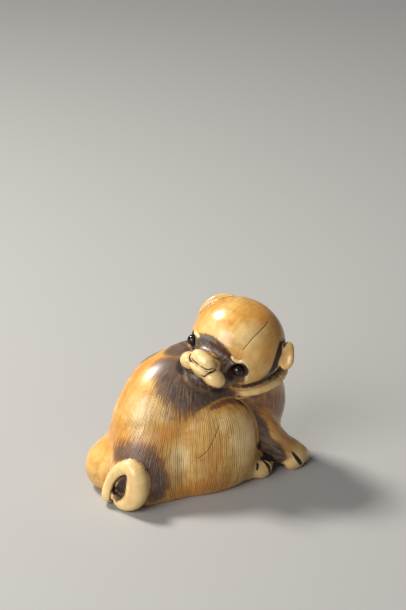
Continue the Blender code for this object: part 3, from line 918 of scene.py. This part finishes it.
class NodeDesk:
    # lays out a material's nodes from left to right
    def __init__(self, name):
        self.material = bpy.data.materials.new(name)
        self.material.use_nodes = True
        self.tree = self.material.node_tree
        self.shader = self.tree.nodes["Principled BSDF"]
        self.column = -2400

    def add(self, kind, **settings):
        node = self.tree.nodes.new(kind)
        node.location = (self.column, 300)
        self.column += 40
        for name, value in settings.items():
            setattr(node, name, value)
        return node

    def feed(self, socket, value):
        if isinstance(value, bpy.types.NodeSocket):
            self.tree.links.new(value, socket)
        else:
            socket.default_value = value

    def sums(self, operation, *values, clamp=False):
        node = self.add("ShaderNodeMath", operation=operation, use_clamp=clamp)
        for socket, value in zip(node.inputs, values):
            self.feed(socket, value)
        return node.outputs[0]

    def ramp(self, value, low, high, start=0.0, end=1.0):
        node = self.add("ShaderNodeMapRange", interpolation_type="SMOOTHSTEP")
        for socket, number in zip(node.inputs, (value, low, high, start, end)):
            self.feed(socket, number)
        return node.outputs[0]

    def field(self, name):
        return self.add("ShaderNodeAttribute", attribute_name=name).outputs["Fac"]

    def noise(self, vector, scale, detail=2.0, roughness=0.5, dimensions="3D"):
        node = self.add("ShaderNodeTexNoise", noise_dimensions=dimensions)
        self.feed(node.inputs["Vector"], vector)
        node.inputs["Scale"].default_value = scale
        node.inputs["Detail"].default_value = detail
        node.inputs["Roughness"].default_value = roughness
        return node.outputs["Fac"]

    def mix(self, share, first, second):
        node = self.add("ShaderNodeMix", data_type="RGBA")
        self.feed(node.inputs["Factor"], share)
        for socket, colour in ((node.inputs[6], first), (node.inputs[7], second)):
            self.feed(socket, colour if isinstance(colour, bpy.types.NodeSocket) else (*colour, 1.0))
        return node.outputs[2]

    def vector(self, x, y, z=0.0):
        node = self.add("ShaderNodeCombineXYZ")
        for socket, value in zip(node.inputs, (x, y, z)):
            self.feed(socket, value)
        return node.outputs[0]


ivoryFinish = {
    "tan": (0.66, 0.34, 0.075),
    "gold": (0.80, 0.50, 0.15),
    "amber": (0.46, 0.18, 0.022),
    "cream": (0.92, 0.72, 0.35),
    "orange": (0.66, 0.26, 0.035),
    "rust": (0.17, 0.062, 0.03),
    # umber and ink colour the dyed cuts and also the painted shade in shut-in places
    "umber": (0.075, 0.03, 0.014),
    "stainAndShade": (0.05, 0.031, 0.028),
    "stainStreakTone": (0.20, 0.13, 0.085),
    "sheenGrey": (0.17, 0.165, 0.16),
    "ink": (0.012, 0.006, 0.003),
    "hairInk": (0.13, 0.048, 0.018),
    "roughness": 0.26,
    "hairShare": 0.74,  # how much of each dark line covers the ivory
    "crackShare": 0.62,
    "scratchShare": 0.2,
    "fleckShare": 0.5,
    "coat": 0.25,
    "stainCoat": 0.08,
    "coatRoughness": 0.12,
    "ior": 1.54,
    "hairDepth": 0.035,  # bump, in millimetres
    "poreDepth": 0.012,
}


def ivoryMaterial():
    desk = NodeDesk("stainedIvory")
    place = desk.add("ShaderNodeTexCoord").outputs["Object"]
    hair, ink, stainAndShade = desk.field("hair"), desk.field("ink"), desk.field("stainAndShade")
    pale, orangeAndShade = desk.field("pale"), desk.field("orangeAndShade")

    # engraved hairs: fine lines that wander, and come and go along their length
    wander = desk.sums("SUBTRACT", desk.noise(place, 420.0, 1.0), 0.5)
    across = desk.sums("MULTIPLY_ADD", wander, 0.45, desk.field("hairAcross"))
    down = desk.field("hairDown")
    lines = desk.sums("DIVIDE", across, painting["hairSpacing"])
    cell = desk.sums("FLOOR", lines)
    profile = desk.sums("PINGPONG", lines, 0.5)
    gatePlace = desk.vector(desk.sums("MULTIPLY", cell, 0.737), desk.sums("MULTIPLY", down, 0.25))
    gate = desk.noise(gatePlace, 1.0, 2.0, dimensions="2D")
    strokes = desk.sums("MULTIPLY", desk.ramp(profile, 0.16, 0.5), desk.ramp(gate, 0.34, 0.62, 0.3, 1.0))
    hairs = desk.sums("MULTIPLY", strokes, hair)
    frayPlace = desk.vector(desk.sums("MULTIPLY", across, 2.4), desk.sums("MULTIPLY", down, 0.35))
    fray = desk.sums("SUBTRACT", desk.noise(frayPlace, 1.0, 3.0, 0.6, dimensions="2D"), 0.5)

    # the ivory itself, in soft patches
    patches = desk.noise(place, 150.0, 4.0, 0.6)
    mottle = desk.noise(place, 480.0, 4.0, 0.65)
    grainPlace = desk.vector(desk.sums("MULTIPLY", across, 1.1), desk.sums("MULTIPLY", down, 0.12))
    grain = desk.noise(grainPlace, 1.0, 3.0, 0.6, dimensions="2D")
    colour = desk.mix(desk.ramp(patches, 0.4, 0.6), ivoryFinish["tan"], ivoryFinish["gold"])
    colour = desk.mix(desk.sums("MULTIPLY", desk.ramp(mottle, 0.48, 0.66), 0.5), colour, ivoryFinish["amber"])
    colour = desk.mix(desk.sums("MULTIPLY", desk.ramp(grain, 0.48, 0.66), 0.35), colour, ivoryFinish["amber"])
    # the orange amount also holds painted shade: shut-in places, the left ear's fold, the neck and chest
    warmShare = desk.sums("MULTIPLY", orangeAndShade, desk.ramp(patches, 0.3, 0.62, 0.45, 1.0))
    colour = desk.mix(warmShare, colour, ivoryFinish["orange"])
    # the cream tint includes a painted highlight on the back
    paleShare = desk.sums("MULTIPLY", pale, desk.ramp(mottle, 0.3, 0.6, 0.9, 0.6))
    colour = desk.mix(paleShare, colour, ivoryFinish["cream"])

    # hairs hold dye
    colour = desk.mix(desk.sums("MULTIPLY", hairs, ivoryFinish["hairShare"]), colour, ivoryFinish["hairInk"])

    # the dark stain and the painted shade, with a rusty edge, frayed along the hairs
    frayed = desk.sums("MULTIPLY_ADD", fray, 0.9, stainAndShade)
    speck = desk.sums("SUBTRACT", desk.noise(place, 900.0, 3.0, 0.6), 0.5)
    frayed = desk.sums("MULTIPLY_ADD", speck, 0.3, frayed)
    frayed = desk.sums("MULTIPLY", frayed, desk.ramp(stainAndShade, 0.02, 0.12))
    colour = desk.mix(desk.ramp(frayed, 0.15, 0.6, 0.0, 0.85), colour, ivoryFinish["rust"])
    streaks = desk.sums("MULTIPLY_ADD", fray, 1.3, desk.sums("MULTIPLY", patches, 0.8))
    stainAndShadeColour = desk.mix(desk.ramp(streaks, 0.25, 0.75), ivoryFinish["stainAndShade"], ivoryFinish["stainStreakTone"])
    # painted sheen: a grey laid over the dark stain in the trough between the eyes
    stainAndShadeColour = desk.mix(desk.field("sheenBand"), stainAndShadeColour, ivoryFinish["sheenGrey"])
    colour = desk.mix(desk.ramp(frayed, 0.4, 0.9, 0.0, 0.95), colour, stainAndShadeColour)
    scratches = desk.ramp(desk.noise(frayPlace, 3.3, 2.0, 0.6, dimensions="2D"), 0.6, 0.72)
    scratches = desk.sums("MULTIPLY", scratches, ivoryFinish["scratchShare"])
    scratches = desk.sums("MULTIPLY", scratches, desk.ramp(frayed, 0.4, 0.8))
    colour = desk.mix(scratches, colour, ivoryFinish["cream"])

    # ink in the cuts and cracks, and painted shade where nearby parts shut the surface in
    crack = desk.sums("ABSOLUTE", desk.field("crackAcross"))
    crack = desk.sums("MULTIPLY", desk.ramp(crack, 0.12, 0.03), desk.field("crackDepth"))
    crack = desk.sums("MULTIPLY", crack, ivoryFinish["crackShare"])
    deep = desk.sums("MAXIMUM", desk.sums("MULTIPLY_ADD", speck, 0.5, ink), crack)
    colour = desk.mix(desk.ramp(deep, 0.2, 0.6), colour, ivoryFinish["umber"])
    colour = desk.mix(desk.ramp(deep, 0.6, 1.0), colour, ivoryFinish["ink"])

    # pores and scattered dark flecks
    flecks = desk.ramp(desk.noise(place, 1500.0, 2.0, 0.5), 0.68, 0.78)
    colour = desk.mix(desk.sums("MULTIPLY", flecks, ivoryFinish["fleckShare"]), colour, ivoryFinish["rust"])
    desk.feed(desk.shader.inputs["Base Color"], colour)

    dull = desk.sums("MULTIPLY_ADD", mottle, 0.16, ivoryFinish["roughness"] - 0.08)
    dull = desk.sums("MULTIPLY_ADD", ink, 0.25, dull)
    dull = desk.sums("MULTIPLY_ADD", stainAndShade, 0.14, dull)
    dull = desk.sums("MULTIPLY_ADD", hairs, 0.15, dull)
    desk.feed(desk.shader.inputs["Roughness"], dull)
    coat = desk.ramp(stainAndShade, 0.2, 0.8, ivoryFinish["coat"], ivoryFinish["stainCoat"])
    desk.feed(desk.shader.inputs["Coat Weight"], coat)
    desk.shader.inputs["Coat Roughness"].default_value = ivoryFinish["coatRoughness"]
    desk.shader.inputs["IOR"].default_value = ivoryFinish["ior"]

    pores = desk.sums("MULTIPLY", desk.noise(place, 700.0, 4.0, 0.6), ivoryFinish["poreDepth"] * mm)
    height = desk.sums("MULTIPLY_ADD", hairs, -ivoryFinish["hairDepth"] * mm, pores)
    bump = desk.add("ShaderNodeBump")
    bump.inputs["Strength"].default_value = 1.0
    bump.inputs["Distance"].default_value = 1.0
    desk.feed(bump.inputs["Height"], height)
    desk.feed(desk.shader.inputs["Normal"], bump.outputs["Normal"])
    return desk.material


puppy.data.materials.clear()
puppy.data.materials.append(ivoryMaterial())
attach(puppy, "root")
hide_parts("dog")
print("ivory finished")


hornFinish = {
    "black": (0.006, 0.006, 0.007),
    "brown": (0.022, 0.014, 0.01),
    "roughness": 0.12,
}


def hornMaterial():
    desk = NodeDesk("blackHorn")
    place = desk.add("ShaderNodeTexCoord").outputs["Object"]
    streaks = desk.noise(place, 1800.0, 3.0, 0.6)
    colour = desk.mix(desk.ramp(streaks, 0.4, 0.7), hornFinish["black"], hornFinish["brown"])
    desk.feed(desk.shader.inputs["Base Color"], colour)
    dull = desk.sums("MULTIPLY_ADD", streaks, 0.1, hornFinish["roughness"] - 0.03)
    desk.feed(desk.shader.inputs["Roughness"], dull)
    return desk.material


def makeEye(name, node, side, material):
    low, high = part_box(node)
    centre = (low + high) / 2
    radius = (high[0] - low[0]) / 2
    for other in bpy.context.selected_objects:
        other.select_set(False)
    bpy.ops.mesh.primitive_uv_sphere_add(segments=48, ring_count=24, radius=radius, location=(0, 0, 0))
    eye = bpy.context.active_object
    eye.name = eye.data.name = name
    # the back half is drawn in to a peg, as an inlay is
    points = meshPoints(eye)
    back = ease(-points[:, 2], 0.1 * radius, 0.75 * radius)
    points[:, :2] *= (1 - 0.25 * back)[:, None]
    setMeshPoints(eye, points)
    out = Vector(headTurn @ np.array(eyes[side]))
    eye.data.transform(Matrix.Translation(centre) @ out.to_track_quat("Z", "Y").to_matrix().to_4x4())
    makeActive(eye)
    bpy.ops.object.shade_smooth()
    eye.data.materials.append(material)
    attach(eye, "root")
    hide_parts(node)
    return eye


horn = hornMaterial()
makeEye("eyeLeft", "eye_left", "left", horn)
makeEye("eyeRight", "eye_right", "right", horn)
print("eyes set")


studio = {
    "floorSize": 3.0,
    "floorColour": (0.4, 0.392, 0.38),
    "worldColour": (0.75, 0.78, 0.82),
    "worldStrength": 0.17,
    "aim": 0.014,  # how high over the floor the lamps point
}

lamps = {
    "keyLight": {
        "from": (-0.5, 0.86, 0.0),  # right, up and back, as the camera sees it
        "distance": 0.4,
        "size": 0.09,
        "power": 1.9,
        "colour": (1.0, 0.97, 0.92),
    },
    "fillLight": {
        "from": (-0.52, 0.2, 0.83),
        "distance": 0.6,
        "size": 0.4,
        "power": 3.1,
        "colour": (1.0, 0.98, 0.95),
    },
}

view = {
    "azimuth": -35.0,
    "elevation": 22.0,
    "pixelsPerMm": 5.6,
    "distance": 450.0,
    "axisPixel": (203.0, 305.0),
    "originPixel": (193.0, 475.0),
    "frameHeight": 610.0,
    "sensor": 36.0,
}


def viewAxes():
    azimuth, elevation = math.radians(view["azimuth"]), math.radians(view["elevation"])
    right = Vector((math.cos(azimuth), math.sin(azimuth), 0))
    level = math.cos(elevation)
    back = Vector((math.sin(azimuth) * level, -math.cos(azimuth) * level, math.sin(elevation)))
    return right, back.cross(right), back


def addCamera():
    right, up, back = viewAxes()
    scale = view["pixelsPerMm"]
    across = (view["axisPixel"][0] - view["originPixel"][0]) / scale
    rise = (view["originPixel"][1] - view["axisPixel"][1]) / scale
    camera = bpy.data.objects.new("camera", bpy.data.cameras.new("camera"))
    bpy.context.scene.collection.objects.link(camera)
    camera.location = (across * right + rise * up + view["distance"] * back) * mm + shift
    camera.rotation_euler = Matrix((right, up, back)).transposed().to_euler()
    camera.data.sensor_width = view["sensor"]
    camera.data.lens = view["sensor"] * scale * view["distance"] / view["frameHeight"]
    camera.data.clip_start, camera.data.clip_end = 0.01, 10
    bpy.context.scene.camera = camera


def addFloor():
    for other in bpy.context.selected_objects:
        other.select_set(False)
    bpy.ops.mesh.primitive_plane_add(size=studio["floorSize"], location=(0, 0, 0))
    floor = bpy.context.active_object
    floor.name = "floor"
    desk = NodeDesk("paleFloor")
    desk.shader.inputs["Base Color"].default_value = (*studio["floorColour"], 1.0)
    desk.shader.inputs["Roughness"].default_value = 0.65
    floor.data.materials.append(desk.material)


def addLight(name, settings):
    right, up, back = viewAxes()
    direction = settings["from"]
    away = (direction[0] * right + direction[1] * up + direction[2] * back).normalized()
    lamp = bpy.data.lights.new(name, "AREA")
    lamp.size = settings["size"]
    lamp.energy = settings["power"]
    lamp.color = settings["colour"]
    light = bpy.data.objects.new(name, lamp)
    bpy.context.scene.collection.objects.link(light)
    light.location = Vector((0, 0, studio["aim"])) + away * settings["distance"]
    light.rotation_euler = away.to_track_quat("Z", "Y").to_euler()


def addLights():
    for name, settings in lamps.items():
        addLight(name, settings)
    world = bpy.data.worlds.new("studio")
    world.use_nodes = True
    background = world.node_tree.nodes["Background"]
    background.inputs["Color"].default_value = (*studio["worldColour"], 1.0)
    background.inputs["Strength"].default_value = studio["worldStrength"]
    bpy.context.scene.world = world


addCamera()
addFloor()
addLights()
bpy.context.scene.view_settings.view_transform = "Standard"
print("studio set")
